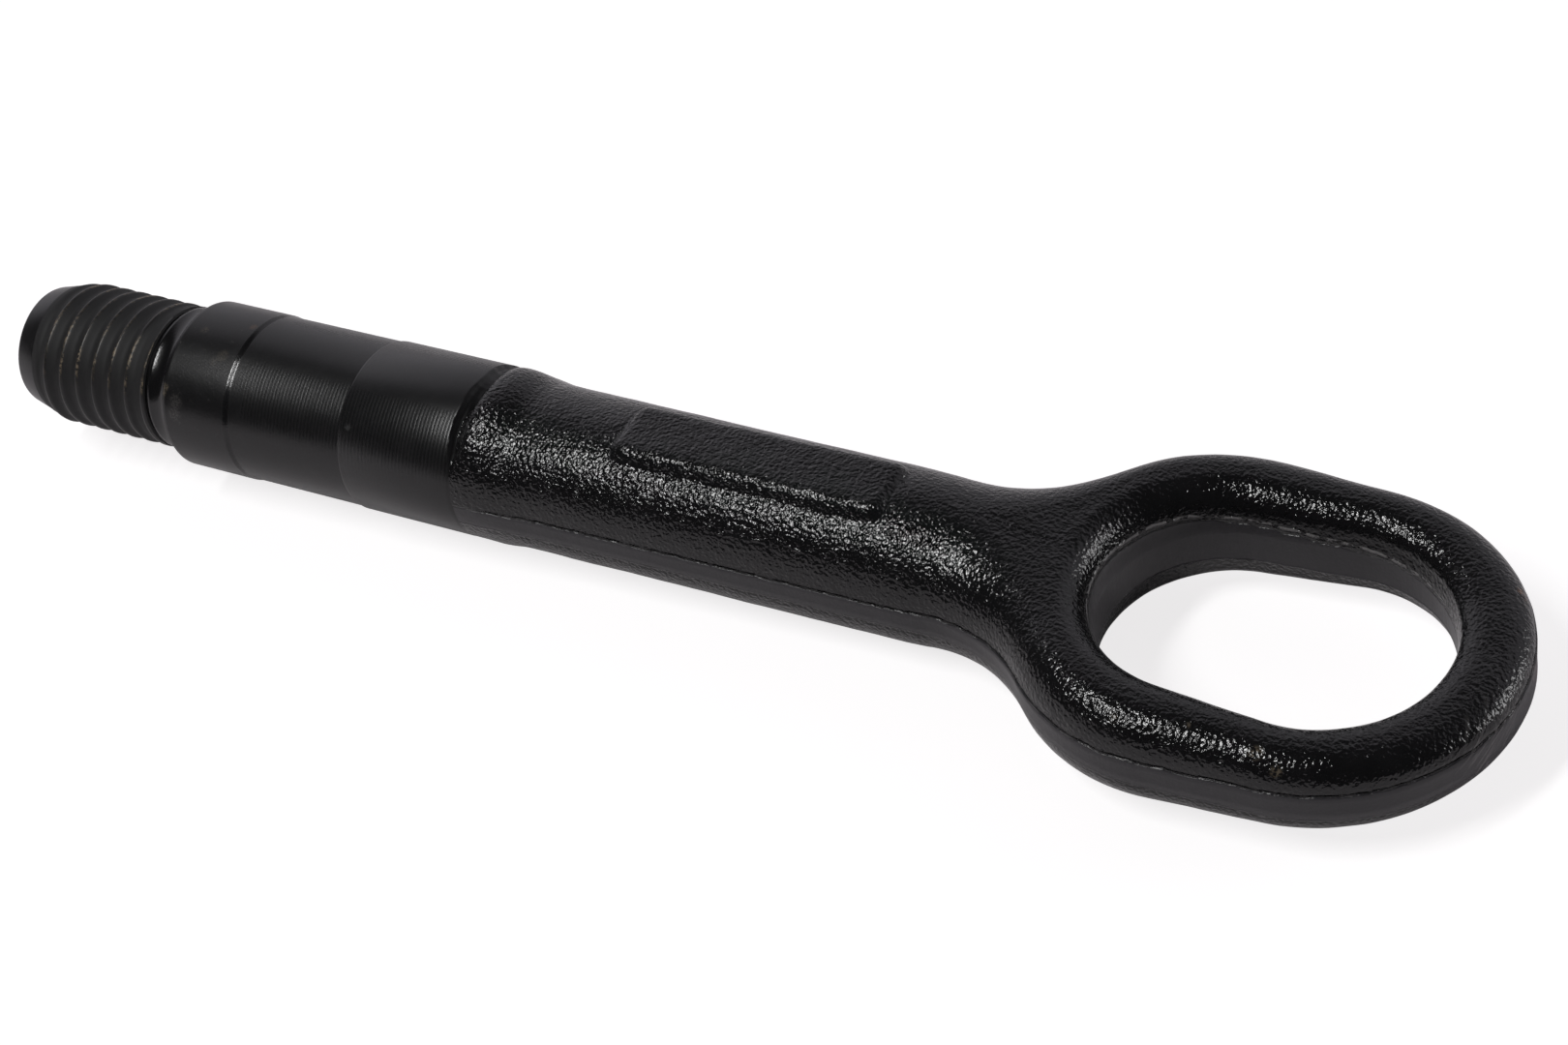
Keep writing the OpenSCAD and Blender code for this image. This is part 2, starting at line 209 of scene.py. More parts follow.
def soft_positive(t):
    """t where it is well above 0, 0 where it is well below, and a smooth bend between."""
    return max(t, 0) + log(1 + exp(-abs(t)))


def rough(x, y, z, size, height, seed):
    """A smooth random height. size is the width of its bumps."""
    return height * noise.noise(Vector((x / size + seed, y / size - seed, z / size + 3 * seed)))


def at_radius(p, r):
    """A point moved straight out or in, to distance r from the axis of the screw."""
    share = r / hypot(p.y, p.z)
    return Vector((p.x, p.y * share, p.z * share))


def cut_share(y, z):
    """1 over the top, where the tool cut into the forged skin, and 0 below, where both run flush."""
    return smooth((degrees(atan2(z, abs(y))) - CUT_ANGLE) / CUT_FADE_ANGLE)


# Mesh tools

TURN_STEPS = 240
ROUNDING_STEPS = 3
# points closer than this are merged
MERGE_GAP = 0.002


def link_object(name, data):
    made = bpy.data.objects.new(name, data)
    bpy.context.scene.collection.objects.link(made)
    return made


def mesh_object(name, bm, material):
    mesh = bpy.data.meshes.new(name)
    bm.to_mesh(mesh)
    bm.free()
    mesh.materials.append(material)
    return link_object(name, mesh)


def finish_piece(name, bm, material):
    """Makes a piece of a mesh whose sizes are in millimetres."""
    bmesh.ops.remove_doubles(bm, verts=bm.verts, dist=MERGE_GAP)
    bmesh.ops.recalc_face_normals(bm, faces=bm.faces)
    bmesh.ops.scale(bm, vec=(MM, MM, MM), verts=bm.verts)
    for face in bm.faces:
        face.smooth = True
    piece = mesh_object(name, bm, material)
    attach(piece, "root")
    return piece


def lay_grid(bm, lines):
    """Lays a grid over a surface. Each line holds the points of one section across it."""
    last_i = len(lines) - 1
    last_j = len(lines[0]) - 1
    made = bmesh.ops.create_grid(bm, x_segments=last_i, y_segments=last_j, size=1.0)["verts"]
    for v in made:
        i = round((v.co.x + 1) / 2 * last_i)
        j = round((v.co.y + 1) / 2 * last_j)
        v.co = lines[i][j]


def chain_of(bm, points):
    """Adds an open chain of vertices and edges, ready to be spun."""
    chain = [bm.verts.new(point) for point in points]
    return chain + [bm.edges.new(pair) for pair in zip(chain, chain[1:])]


def spun(profile):
    """Spins a chain of (x, radius) points round the axis of the screw."""
    bm = bmesh.new()
    geom = chain_of(bm, [(x, -r, 0.0) for x, r in profile])
    bmesh.ops.spin(bm, geom=geom, cent=(0, 0, 0), axis=(1, 0, 0), dvec=(0, 0, 0), angle=2 * pi,
                   steps=TURN_STEPS, use_merge=True, use_normal_flip=False, use_duplicate=False)
    bmesh.ops.remove_doubles(bm, verts=bm.verts, dist=MERGE_GAP)
    return bm


def rounded_corner(corner, before, after, size):
    """Points of a small rounding at one corner of a profile."""
    corner, before, after = Vector(corner), Vector(before), Vector(after)
    start = corner + (before - corner).normalized() * size
    end = corner + (after - corner).normalized() * size
    return [tuple(start.lerp(corner, t).lerp(corner.lerp(end, t), t)) for t in steps(0, 1, ROUNDING_STEPS)]


def rounded_profile(points):
    """points are (x, radius, rounding). A rounding of 0 keeps a corner sharp, as the first and last are."""
    out = []
    for n, (x, r, size) in enumerate(points):
        if size:
            out += rounded_corner((x, r), points[n - 1][:2], points[n + 1][:2], size)
        else:
            out.append((x, r))
    return out


# The turned part: lead cone, core of the thread, neck and guide collar

def cone_and_core_profile():
    core_r = thread_root_r - CORE_GAP
    groove_r = neck_r - NECK_GROOVE
    return rounded_profile([
        (TIP_X, 0.0, 0),
        (TIP_X, TIP_R, TIP_ROUNDING),
        (RING_X, RING_R, RING_ROUNDING),
        (RING_X + 0.5, core_r, 0),
        (THREAD_END_X - 1.0, core_r, 0),
        (THREAD_END_X, groove_r, 0.08),
        (NECK_X - 0.25, groove_r, 0.1),
        (NECK_X, neck_r, 0),
    ])


def neck_profile():
    """A hollow with its lowest place at NECK_LOW_X and a steep wall up to the collar."""
    foot = neck_r - NECK_HOLLOW
    wall = radians(NECK_WALL_ANGLE)
    front = [(mix(NECK_LOW_X, NECK_X, t), foot + NECK_FRONT_RISE * t * t) for t in (0.8, 0.6, 0.4, 0.2)]
    rear = []
    for a in steps(0, wall, 10)[:-1]:
        rise = (1 - cos(a)) / (1 - cos(wall))
        rear.append((mix(NECK_LOW_X, 0, sin(a) / sin(wall)), mix(foot, LAND_R, rise)))
    return front + rear


def collar_profile():
    return rounded_profile([
        (-0.01, LAND_R - 0.005, 0),
        (0.35, LAND_R, 0),
        (FRONT_LAND_END, LAND_R, 0.10),
        (FRONT_LAND_END + FRONT_STEP_LEN, RELIEF_R, 0.14),
        (REAR_LAND_X - REAR_STEP_LEN, RELIEF_R, 0.06),
        (REAR_LAND_X, LAND_R, 0),
    ])


def chamfer_profile():
    """From the end of the rear land down the chamfer and in to the axis."""
    end = [(COLLAR_END_X, r) for r in (LAND_R - CHAMFER_DEPTH, 6.0, 0.0)]
    return [(land_end_x + x, LAND_R - depth) for x, depth in CHAMFER_STEPS] + end


def edge_shift(angle):
    """How far the land's uneven end lies from its mean place, at an angle round the axis."""
    return sum(height * noise.noise(Vector((fineness * cos(angle), fineness * sin(angle), seed)))
               for height, fineness, seed in LAND_END_WAVES)


def make_turned_body(material):
    """The turned surfaces in one spin, with the end of the rear land uneven and flush below."""
    bm = spun(cone_and_core_profile() + neck_profile() + collar_profile() + chamfer_profile())
    for v in bm.verts:
        r = hypot(v.co.y, v.co.z)
        if v.co.x > land_end_x - LAND_END_REACH and r > LAND_R - CHAMFER_DEPTH - LAND_END_MARGIN:
            v.co.x += edge_shift(atan2(v.co.z, v.co.y))
            flush_r = LAND_R - LAND_END_TAPER * clamp01(v.co.x - land_end_x)
            v.co = at_radius(v.co, mix(flush_r, r, cut_share(v.co.y, v.co.z)))
    return finish_piece("turned_body", bm, material)


# The thread

THREAD_TURNS = 10
STEPS_PER_TURN = 120
TURNS_BEFORE_RING = 1.5
THREAD_SINK = 0.2
THREAD_LAP = 0.02
THREAD_MERGE_GAP = 0.004
THREAD_CUT_GAP = 0.0005


def thread_form():
    """One pitch of the thread as (x, radius), from the edge of one crest to the same edge of the next."""
    half_crest = CREST_W / 2
    flank = THREAD_DEPTH * tan(radians(FLANK_ANGLE))
    edge_r = thread_crest_r - CREST_ROUNDING
    side = [(half_crest, edge_r)]
    side += [(half_crest + flank * t, mix(edge_r, thread_root_r, t)) for t in (0.08, 0.5, 0.92)]
    side.append((half_crest + flank * 1.08, thread_root_r - ROOT_HOLLOW))
    top = [(x * half_crest, r) for x, r in ((-1.0, edge_r), (-0.6, thread_crest_r), (0.6, thread_crest_r))]
    return top + side + [(THREAD_PITCH - x, r) for x, r in reversed(side)]


def thread_r(x, r):
    """The thread grows out of the lead cone and runs out into the neck."""
    r = max(r, mix(thread_root_r, neck_r, clamp01((x - THREAD_END_X) / THREAD_RUNOUT_LEN + 1)))
    if x < RING_X + THREAD_START_LEN:
        rising = mix(RING_R, thread_crest_r, (x - RING_X) / THREAD_START_LEN)
        r = min(r, max(rising, RING_R - THREAD_SINK))
    return r


def make_thread(material):
    """A left-hand thread: one pitch of its form, spun along the axis and cut off at both ends."""
    start_x = RING_X - TURNS_BEFORE_RING * THREAD_PITCH
    angle = radians(THREAD_START_ANGLE)
    bm = bmesh.new()
    geom = chain_of(bm, [(start_x + x, r * cos(angle), r * sin(angle)) for x, r in thread_form()])
    bmesh.ops.spin(bm, geom=geom, cent=(0, 0, 0), axis=(-1, 0, 0), dvec=(THREAD_PITCH / STEPS_PER_TURN, 0, 0),
                   angle=2 * pi * THREAD_TURNS, steps=THREAD_TURNS * STEPS_PER_TURN,
                   use_merge=False, use_normal_flip=False, use_duplicate=False)
    bmesh.ops.remove_doubles(bm, verts=bm.verts, dist=THREAD_MERGE_GAP)
    for v in bm.verts:
        v.co = at_radius(v.co, thread_r(v.co.x, hypot(v.co.y, v.co.z)))
    for x, way in ((RING_X + THREAD_LAP, -1), (THREAD_END_X, 1)):
        cut = bmesh.ops.bisect_plane(bm, geom=bm.verts[:] + bm.edges[:] + bm.faces[:], dist=THREAD_CUT_GAP,
                                     plane_co=(x, 0, 0), plane_no=(way, 0, 0), clear_outer=True)["geom_cut"]
        bmesh.ops.edgenet_fill(bm, edges=[e for e in cut if isinstance(e, bmesh.types.BMEdge)])
    return finish_piece("thread", bm, material)


# The forging: shank with its pad, fork and eye

# places on the round shoulder, in degrees up from the band, close together where the pad's side runs
SHOULDER_DEGREES = (0, 2.5, 5, 8, 11, 14.5, 18, *steps(22, 50, 7), 53, 55.5, 57.5,
                    *steps(59, 71, 10), 73, 75.5, *steps(78, 90, 4))
SHOULDER = [radians(a) for a in SHOULDER_DEGREES]
EYE_END_STEPS = 46
EYE_SIDE_STEPS = 16
EYE_FORK_STEPS = 24
FORK_STEPS = 26
WEB_STEPS = 7
DRAFT_STEPS = 4
SHANK_STEP = 0.62
PAD_END_BEFORE = 1.3
PAD_END_AFTER = 0.9
PAD_END_STEPS = 14
MIN_STEP = 0.35
FORGING_MERGE_GAP = 0.003


def drop_at(x):
    """0 on the shank and 1 on the eye."""
    return smooth((x - drop_start_x) / DROP_LEN)


def rise_at(x):
    """How much higher the shank stands at its start."""
    return SHANK_RISE * (1 - smooth((x - COLLAR_END_X - SHANK_RISE_START) / SHANK_RISE_LEN))


def bar_half_h(x):
    return mix(EYE_H, EYE_END_H, clamp01((x - drop_end_x) / (tip_of_eye_x - drop_end_x))) / 2


def crest_at(x):
    return mix(SHANK_H / 2 + rise_at(x), bar_half_h(x), drop_at(x))


def square_at(x):
    """2 for a round section. A higher number is squarer."""
    return mix(SHANK_SQUARE, 2.0, smooth((x - COLLAR_END_X) / SHANK_SQUARE_LEN))


def shank_half_w(x):
    return mix(SHANK_W / 2, fork_half_w, (x - COLLAR_END_X) / (FORK_X - COLLAR_END_X))


def polar(r, a):
    return Vector((r * cos(a), r * sin(a)))


def lifted(q, z):
    return Vector((q.x, q.y, z))


def shoulder_rows(p, inward, width, band, crest, square):
    """From the trimmed band at p over the round shoulder to the crest."""
    rows = []
    for a in SHOULDER:
        q = p + inward * (width * (1 - cos(a) ** (2 / square)))
        rows.append(lifted(q, mix(band, crest, sin(a) ** (2 / square))))
    return rows


def web_rows(start, end):
    """Along the flat crest, or across the web between the two bars of the fork."""
    return [lifted(q, crest_at(q.x)) for q in (start.lerp(end, t) for t in steps(0, 1, WEB_STEPS)[1:])]


def hole_rows(p, outward, width, band, crest):
    """From the crest down the inner shoulder and the drafted strip to the band in the opening."""
    edge = band + min(HOLE_DRAFT_H, (crest - band) / 2)
    rows = []
    for a in SHOULDER[-2::-1]:
        rows.append(lifted(p + outward * mix(HOLE_DRAFT, width, 1 - cos(a)), mix(edge, crest, sin(a))))
    for t in steps(0, 1, DRAFT_STEPS)[1:]:
        rows.append(lifted(p + outward * (HOLE_DRAFT * (1 - t)), mix(edge, band, t)))
    return rows


def eye_station(x, r, angle, in_x, in_r, in_angle):
    """A section of the eye: outer point, its way in, hole point, its way out, share of the eye's form."""
    return (Vector((x, 0)) + polar(r, angle), -polar(1, angle),
            Vector((in_x, 0)) + polar(in_r, in_angle), polar(1, in_angle), 1.0)


def eye_stations():
    """Sections of half the eye, from its far end along the side and the fork to the shank."""
    found = []
    for t in steps(0, 1, EYE_END_STEPS):
        found.append(eye_station(eye_end_x, EYE_END_R, outer_side_angle * t,
                                 hole_end_x, HOLE_END_R, hole_side_angle * t))
    for t in steps(0, 1, EYE_SIDE_STEPS)[1:]:
        found.append(eye_station(mix(eye_end_x, eye_x, t), mix(EYE_END_R, EYE_FORK_R, t), outer_side_angle,
                                 mix(hole_end_x, hole_x, t), mix(HOLE_END_R, HOLE_FORK_R, t),
                                 hole_side_angle))
    for t in steps(0, 1, EYE_FORK_STEPS)[1:]:
        found.append(eye_station(eye_x, EYE_FORK_R, mix(outer_side_angle, fork_angle, t),
                                 hole_x, HOLE_FORK_R, mix(hole_side_angle, fork_hole_angle, t)))
    for t in steps(0, 1, FORK_STEPS)[1:]:
        a = mix(fork_angle + pi, 1.5 * pi, t)
        b = mix(fork_hole_angle, pi, t)
        found.append((Vector((FORK_X, fork_centre_y)) + polar(FORK_R, a), polar(1, a),
                      Vector((hole_x, 0)) + polar(HOLE_FORK_R, b), polar(1, b), 1 - t))
    return found


def eye_half(station, outer_band, shank_band, hole_band):
    """The upper half of a section, from the outer band over the bar to the band in the opening."""
    outer, way_in, hole, way_out, own = station
    outer = outer + way_in * (BAND_STEP + BAND_INSET)
    round_w = (min(bar_w, (outer - hole).length) - CREST_FLAT) / 2
    outer_w = mix(fork_half_w - BAND_STEP, round_w, smooth(own))
    band = mix(shank_band, outer_band, drop_at(outer.x))
    start = outer + way_in * outer_w
    end = hole + way_out * round_w
    return (shoulder_rows(outer, way_in, outer_w, band, crest_at(start.x), square_at(outer.x))
            + web_rows(start, end)
            + hole_rows(hole, way_out, round_w, hole_band, crest_at(end.x)))


def shank_half(x, band):
    """The upper half of the shank's section, from the band to the middle of the top."""
    half_w = shank_half_w(x) - BAND_STEP
    return shoulder_rows(Vector((x, half_w)), Vector((0, -1)), half_w, band, crest_at(x), square_at(x))


def flipped(rows):
    return [Vector((p.x, p.y, -p.z)) for p in rows]


def eye_sides(station):
    top = eye_half(station, EYE_BAND_TOP, BAND_TOP, HOLE_BAND_TOP)
    low = flipped(eye_half(station, EYE_BAND_LOW, BAND_LOW, HOLE_BAND_LOW))
    return top, low


def flush(p):
    """Swells the start of the shank out to the turned land, and dips it where the tool cut into the top."""
    if p.x > COLLAR_END_X + FLUSH_LEN:
        return p
    r = hypot(p.y, p.z)
    cut = cut_share(p.y, p.z)
    dip = CUT_DIP * cut * (1 - smooth((p.x - COLLAR_END_X - CUT_DIP_START) / CUT_DIP_LEN))
    share = (1 - cut) * (1 - smooth((p.x - COLLAR_END_X) / FLUSH_LEN))
    return at_radius(p, mix(r - dip, LAND_R - FLUSH_GAP, share))


def edge_wave(p, seed):
    """How far a trimmed edge has wandered at a point of it."""
    return sum(rough(p.x, p.y, seed, size, height, seed + change) for size, height, change in BAND_WAVES)


def band_rows(top, low, way_in, seed, step):
    """Rows across a trimmed band from its top corner to its bottom corner. It stands proud by step."""
    wave_top = abs(edge_wave(top, seed))
    wave_low = BAND_LOW_WAVE_SHARE * edge_wave(low, seed + BAND_LOW_SEED_CHANGE)
    proud = lifted(way_in, 0) * -step
    height = top.z - low.z
    # distance down the band, and how far it stands proud there
    across = [(-0.02, 0.0), (BAND_EDGE_W * 0.5, 0.35), (BAND_EDGE_W, 1.0),
              (height * 0.3, 0.85), (height * 0.5, 0.8), (height * 0.7, 0.85),
              (height - BAND_EDGE_W * 1.1, 1.0), (height - BAND_EDGE_W * 0.4, 0.4), (height + 0.02, 0.0)]
    rows = []
    for down, out in across:
        near_top = clamp01(1 - down / (height * 0.5))
        near_low = clamp01(1 - (height - down) / (height * 0.5))
        z = top.z - down - wave_top * near_top + wave_low * near_low
        rows.append(lifted(top, z) + proud * out)
    return rows


def pad_height(x, y):
    """Height of the raised pad at a place, with its drafted sides and soft edges."""
    half_len = (PAD_X1 - PAD_X0) / 2
    dx = abs(x - (PAD_X0 + PAD_X1) / 2) - (half_len - PAD_CORNER_R)
    dy = abs(y) - (PAD_HALF_W - PAD_CORNER_R)
    wave = rough(x, y, 0, *PAD_EDGE_WAVE)
    outside = hypot(max(dx, 0), max(dy, 0)) + min(max(dx, dy), 0) - PAD_CORNER_R + wave
    fall = PAD_EDGE_SOFT * soft_positive(outside / PAD_EDGE_SOFT) / tan(radians(PAD_DRAFT_ANGLE))
    return PAD_TOP + PAD_EXTRA - fall


def with_pad(p):
    """Lifts a point of the shank's top onto the pad where that is higher, with a soft valley round it."""
    beside = abs(p.y) > PAD_HALF_W + PAD_REACH_Y or not PAD_X0 - PAD_REACH_X < p.x < PAD_X1 + PAD_REACH_X
    if p.z <= 0 or beside:
        return p
    gap = (pad_height(p.x, p.y) - p.z) / PAD_VALLEY
    high_z = p.z + PAD_VALLEY * soft_positive(gap)
    foot = PAD_FOOT_DIP * exp(-((gap - PAD_FOOT_AT) / PAD_FOOT_W) ** 2)
    share = clamp01((gap - PAD_LIFT_START) / (PAD_LIFT_FULL - PAD_LIFT_START))
    return lifted(p, mix(p.z, high_z, share) - foot)


def shank_places():
    """Even steps along the shank, with close ones at both ends of the pad."""
    ends = []
    for at in (PAD_X0, PAD_X1):
        ends += steps(at - PAD_END_BEFORE, at + PAD_END_AFTER, PAD_END_STEPS)
    start = COLLAR_END_X - SHANK_OVERLAP
    even = [start + k * SHANK_STEP for k in range(int((FORK_X - start) / SHANK_STEP))]
    apart = [x for x in even if all(abs(x - end) >= MIN_STEP for end in ends)]
    return sorted([*apart, *ends, FORK_X])


def uneven(p, way_out):
    return p + way_out * sum(rough(p.x, p.y, p.z, size, height, seed) for size, height, seed in SKIN_WAVES)


def eye_line(station):
    """A closed section through one bar of the eye."""
    top, low = eye_sides(station)
    outer = band_rows(top[0], low[0], station[1], OUTER_BAND_SEED, BAND_STEP)
    inner = band_rows(top[-1], low[-1], station[3], HOLE_BAND_SEED, 0.0)
    line = outer[::-1] + top[1:-1] + inner + low[-2:0:-1]
    return line + line[:1]


def shank_line(x, last_station):
    """Half a section of the shank. The one at the fork is the last section of the eye."""
    if x == FORK_X:
        top, low = (rows[:len(SHOULDER)] for rows in eye_sides(last_station))
    else:
        top, low = shank_half(x, BAND_TOP), flipped(shank_half(x, BAND_LOW))
    outer = band_rows(top[0], low[0], Vector((0, -1)), OUTER_BAND_SEED, BAND_STEP)
    return [with_pad(flush(p)) for p in low[:0:-1] + outer[::-1] + top[1:]]


def make_forging(material):
    """Half of the forging in two grids, mirrored and closed at its start."""
    bm = bmesh.new()
    stations = eye_stations()
    lay_grid(bm, [eye_line(station) for station in stations])
    lay_grid(bm, [shank_line(x, stations[-1]) for x in shank_places()])
    bmesh.ops.remove_doubles(bm, verts=bm.verts, dist=FORGING_MERGE_GAP)
    bmesh.ops.mirror(bm, geom=bm.verts[:] + bm.edges[:] + bm.faces[:], matrix=Matrix.Identity(4), axis="Y",
                     merge_dist=FORGING_MERGE_GAP)
    bmesh.ops.remove_doubles(bm, verts=bm.verts, dist=FORGING_MERGE_GAP)
    rim = [e for e in bm.edges if e.is_boundary]
    bmesh.ops.edgenet_fill(bm, edges=rim)
    for edge in rim:
        edge.smooth = False
    bmesh.ops.recalc_face_normals(bm, faces=bm.faces)
    bm.normal_update()
    moved = {v: uneven(v.co, v.normal) for v in bm.verts}
    for v, place in moved.items():
        v.co = place
    return finish_piece("forging", bm, material)


# Shader maths

class Value:
    """A number or a vector that varies over a surface. Operators on it add Math nodes."""

    def __init__(self, tree, socket):
        self.tree = tree
        self.socket = socket

    def math(self, operation, *values):
        return add_node(self.tree, "ShaderNodeMath", {"operation": operation}, dict(enumerate(values)))

    def __add__(self, other):
        return self.math("ADD", self, other)

    __radd__ = __add__

    def __sub__(self, other):
        return self.math("SUBTRACT", self, other)

    def __rsub__(self, other):
        return self.math("SUBTRACT", other, self)

    def __mul__(self, other):
        return self.math("MULTIPLY", self, other)

    __rmul__ = __mul__

    def __pow__(self, other):
        return self.math("POWER", self, other)

    def abs(self):
        return self.math("ABSOLUTE", self)

    def sin(self):
        return self.math("SINE", self)

    def at_least(self, other):
        return self.math("MAXIMUM", self, other)

    def ramp(self, start, end):
        """0 at start and 1 at end, smooth between them. start may be the higher one."""
        return add_node(self.tree, "ShaderNodeMapRange", {"interpolation_type": "SMOOTHSTEP", "clamp": True},
                        {"Value": self, "From Min": start, "From Max": end, "To Min": 0.0, "To Max": 1.0})


def add_node(tree, kind, settings=None, sockets=None, out=0):
    """Adds any node: its settings come first, then the values or links of its sockets.

    It gives the output asked for, or None where the node has no outputs."""
    made = tree.nodes.new(kind)
    for name, value in (settings or {}).items():
        setattr(made, name, value)
    for name, value in (sockets or {}).items():
        socket = made.inputs[name]
        if isinstance(value, Value):
            tree.links.new(value.socket, socket)
        elif socket.type == "RGBA":
            socket.default_value = (*value, 1.0)
        else:
            socket.default_value = value
    return Value(tree, made.outputs[out]) if len(made.outputs) else None


def mixed_colour(tree, share, first, second):
    """The first colour where share is 0 and the second where it is 1."""
    return add_node(tree, "ShaderNodeMix", {"data_type": "RGBA"}, {0: share, 6: first, 7: second}, 2)


def split(tree, vector):
    """The x, y and z of a vector."""
    return [add_node(tree, "ShaderNodeSeparateXYZ", None, {0: vector}, n) for n in range(3)]


def empty_tree(owner):
    """The cleared node tree of a material or a world."""
    owner.use_nodes = True
    owner.node_tree.nodes.clear()
    return owner.node_tree


class Finish:
    """One material of the part, with its places in millimetres."""

    def __init__(self, name):
        self.material = bpy.data.materials.new(name)
        self.tree = empty_tree(self.material)
        coords = add_node(self.tree, "ShaderNodeTexCoord", out="Object")
        self.place = add_node(self.tree, "ShaderNodeVectorMath", {"operation": "SCALE"},
                              {0: coords, "Scale": 1 / MM})
        self.x, self.y, self.z = split(self.tree, self.place)

    def vector(self, operation, first, second, out=0):
        return add_node(self.tree, "ShaderNodeVectorMath", {"operation": operation},
                        {0: first, 1: second}, out)

    def length(self, vector):
        return add_node(self.tree, "ShaderNodeVectorMath", {"operation": "LENGTH"}, {0: vector}, "Value")

    def point(self, x, y, z):
        return add_node(self.tree, "ShaderNodeCombineXYZ", None, {0: x, 1: y, 2: z})

    def noise(self, scale, detail=2.0, roughness=0.5, at=None, distortion=0.0):
        return add_node(self.tree, "ShaderNodeTexNoise", {"noise_dimensions": "3D"},
                        {"Vector": at or self.place, "Scale": scale, "Detail": detail,
                         "Roughness": roughness, "Distortion": distortion})

    def cells(self, scale, smoothness):
        return add_node(self.tree, "ShaderNodeTexVoronoi", {"feature": "SMOOTH_F1"},
                        {"Vector": self.place, "Scale": scale, "Smoothness": smoothness})

    def lines(self, pitch, shift):
        """Rings round the axis, one every pitch, from 0 to 1."""
        return (self.x * (2 * pi / pitch) + shift).sin() * 0.5 + 0.5

    def colour(self, share, first, second):
        return mixed_colour(self.tree, share, first, second)

    def spot(self, place, size, soft):
        """1 at a place and 0 away from it."""
        away = self.length(self.vector("SUBTRACT", self.place, place))
        return away.ramp(size * (1 + soft), size * (1 - soft))

    def scratch(self, start, end, width):
        """1 along a short straight scratch."""
        way = (Vector(end) - Vector(start)).normalized()
        length = (Vector(end) - Vector(start)).length
        offset = self.vector("SUBTRACT", self.place, start)
        run = self.vector("DOT_PRODUCT", offset, way, "Value")
        aside = self.length(self.vector("CROSS_PRODUCT", offset, way))
        between = run.ramp(-0.1, 0.05) * run.ramp(length + 0.1, length - 0.05)
        return aside.ramp(width * 2, width * 0.6) * between

    def bump(self, height, depth, normal=None):
        """Raises the surface by height, which runs from 0 to 1, times depth in millimetres."""
        sockets = {"Height": height, "Distance": depth * MM, "Strength": 1.0}
        if normal is not None:
            sockets["Normal"] = normal
        return add_node(self.tree, "ShaderNodeBump", None, sockets)

    def wear(self, colour, places, soft, grain):
        """Lays small worn or dusty places over a colour."""
        for place, size, paint, share in places:
            colour = self.colour(self.spot(place, size, soft) * grain * share, colour, paint)
        return colour

    def done(self, colour, roughness, normal):
        shader = add_node(self.tree, "ShaderNodeBsdfPrincipled", None,
                          {"Base Color": colour, "Roughness": roughness, "Normal": normal, "IOR": COAT_IOR})
        add_node(self.tree, "ShaderNodeOutputMaterial", None, {"Surface": shader})
        return self.material


# Finishes of the part

COAT_IOR = 1.5

BLACK = (0.0045, 0.0045, 0.0048)
DULL_BLACK = (0.0085, 0.0083, 0.0090)
# painted shade in the crack along the top of the trimmed bands
CRACK_SHADE_BLACK = (0.0015, 0.0015, 0.0015)
SCRATCH_BLACK = (0.002, 0.002, 0.002)
BAND_GREY = (0.034, 0.032, 0.036)
# painted highlight along the foot of the trimmed bands
LIP_HIGHLIGHT_GREY = (0.10, 0.095, 0.10)
RIM_HIGHLIGHT_GREY = (0.26, 0.25, 0.25)
# painted highlight along the rim of the opening
RUBBED_GREY = (0.15, 0.14, 0.14)
GREY = (0.09, 0.09, 0.09)
DUST = (0.10, 0.095, 0.09)
PALE = (0.20, 0.15, 0.15)
BRASS = (0.22, 0.175, 0.12)
BROWN = (0.16, 0.085, 0.045)
TAN = (0.17, 0.14, 0.10)
RUST = (0.20, 0.085, 0.035)

# where the coat is worn, rusty or dusty: place, size, paint and share
TURNED_WEAR = [
    ((0.29, -7.85, 6.19), 0.42, TAN, 0.6),
    ((0.15, -8.30, 5.60), 0.30, TAN, 0.6),
    ((1.87, -8.66, 5.01), 0.85, DUST, 0.4),
    ((1.68, -9.34, 3.56), 0.80, DUST, 0.4),
    ((6.96, -3.78, 9.26), 0.70, TAN, 0.20),
    ((6.10, -4.60, 8.90), 0.50, TAN, 0.15),
    ((8.24, 1.17, 9.93), 0.45, BROWN, 0.3),
    ((26.55, -7.50, 6.61), 0.38, GREY, 0.45),
    ((2.60, -1.00, 9.95), 0.50, TAN, 0.2),
]
FORGED_WEAR = [
    ((156.94, 10.76, 3.51), 0.50, RUST, 0.5),
    ((157.60, 10.00, 3.10), 0.35, RUST, 0.3),
    ((160.45, 4.72, -0.26), 1.30, PALE, 0.7),
    ((160.70, 2.90, 0.90), 0.90, PALE, 0.6),
    ((140.67, -18.84, 4.92), 0.60, TAN, 0.7),
    ((143.01, -19.73, 3.98), 0.50, TAN, 0.7),
    ((126.21, -19.48, 5.39), 0.40, TAN, 0.5),
    ((133.50, -18.10, 5.40), 0.30, TAN, 0.5),
]
SCRATCH_START = (12.85, -6.07, 7.75)
SCRATCH_END = (14.34, -6.64, 7.27)
SCRATCH_W = 0.07

TOOL_LINE_PITCH = 0.47
TOOL_LINE_DEPTH = 0.011
FINE_LINE_PITCH = 0.17
FINE_LINE_DEPTH = 0.0035
COAT_GRAIN_DEPTH = 0.010
THREAD_GRAIN_DEPTH = 0.015
SKIN_DEPTH = 0.195

# the height of the upper edge of the band in the opening, where a painted highlight runs along the rim: a
# height that falls to the far end
HOLE_EDGE_X = 123.6
HOLE_EDGE_Z = 3.2
HOLE_EDGE_SLOPE = -0.1
HOLE_BAND_REACH = 16.6
HOLE_RIM_HIGHLIGHT_REACH = 15.0

RUB_PLACE = (161.0, -7.5, -0.4)
RUB_SIZE = 4.6
RUB_WAY = (0.17, 0.84, 0.51)
RUB_ACROSS = (-0.32, -0.45, 0.84)


